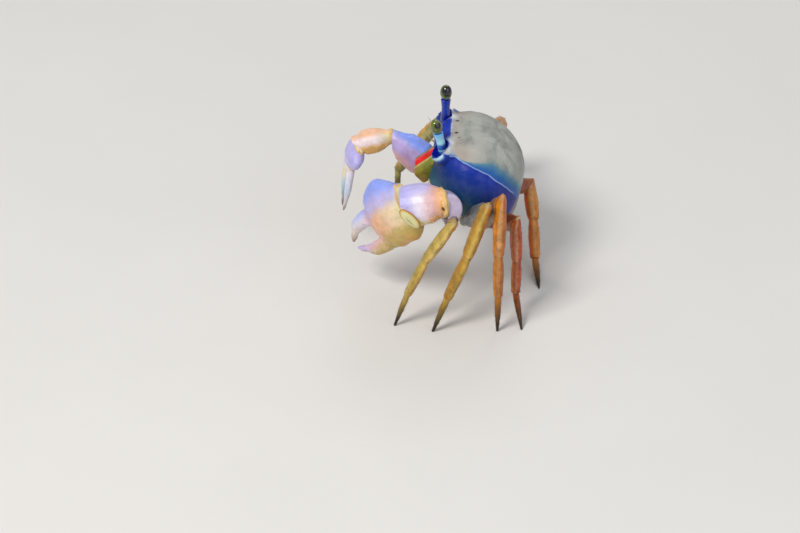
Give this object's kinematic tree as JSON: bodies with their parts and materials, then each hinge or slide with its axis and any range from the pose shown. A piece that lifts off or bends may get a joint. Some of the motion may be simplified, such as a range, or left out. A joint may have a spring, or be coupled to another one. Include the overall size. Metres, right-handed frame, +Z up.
{
  "type": "blue land crab",
  "caption": "Still life-size blue land crab standing alert: domed grey carapace with blue flanks, raised eyestalks, lilac claws, orange walking legs.",
  "frame": {"origin": "on the floor under the middle of the model's box", "axes": "+X to the crab's own left and -Y the way it faces, +Z up, feet at z = 0"},
  "size_m": [0.155, 0.0994, 0.0991],
  "materials": {
    "shell_grey": "satin",
    "shell_blue": "satin",
    "claw_lilac": "satin",
    "leg_orange": "satin",
    "belly_cream": "satin",
    "eye_green": "gloss"
  },
  "bodies": {
    "root": {"carapace": "shell_grey", "thorax": "belly_cream", "abdomen": "belly_cream", "maxilliped_left": "belly_cream", "antenna_left": "belly_cream", "eyestalk_left": "shell_blue", "eye_left": "eye_green", "claw_left_merus": "claw_lilac", "claw_left_carpus": "claw_lilac", "claw_left_palm": "claw_lilac", "claw_left_finger": "claw_lilac", "leg_left_1_merus": "leg_orange", "leg_left_1_carpus": "leg_orange", "leg_left_1_propodus": "leg_orange", "leg_left_1_dactyl": "leg_orange", "leg_left_2_merus": "leg_orange", "leg_left_2_carpus": "leg_orange", "leg_left_2_propodus": "leg_orange", "leg_left_2_dactyl": "leg_orange", "leg_left_3_merus": "leg_orange", "leg_left_3_carpus": "leg_orange", "leg_left_3_propodus": "leg_orange", "leg_left_3_dactyl": "leg_orange", "leg_left_4_merus": "leg_orange", "leg_left_4_carpus": "leg_orange", "leg_left_4_propodus": "leg_orange", "leg_left_4_dactyl": "leg_orange", "maxilliped_right": "belly_cream", "antenna_right": "belly_cream", "eyestalk_right": "shell_blue", "eye_right": "eye_green", "claw_right_merus": "claw_lilac", "claw_right_carpus": "claw_lilac", "claw_right_palm": "claw_lilac", "claw_right_finger": "claw_lilac", "leg_right_1_merus": "leg_orange", "leg_right_1_carpus": "leg_orange", "leg_right_1_propodus": "leg_orange", "leg_right_1_dactyl": "leg_orange", "leg_right_2_merus": "leg_orange", "leg_right_2_carpus": "leg_orange", "leg_right_2_propodus": "leg_orange", "leg_right_2_dactyl": "leg_orange", "leg_right_3_merus": "leg_orange", "leg_right_3_carpus": "leg_orange", "leg_right_3_propodus": "leg_orange", "leg_right_3_dactyl": "leg_orange", "leg_right_4_merus": "leg_orange", "leg_right_4_carpus": "leg_orange", "leg_right_4_propodus": "leg_orange", "leg_right_4_dactyl": "leg_orange"}
  },
  "joints": []
}
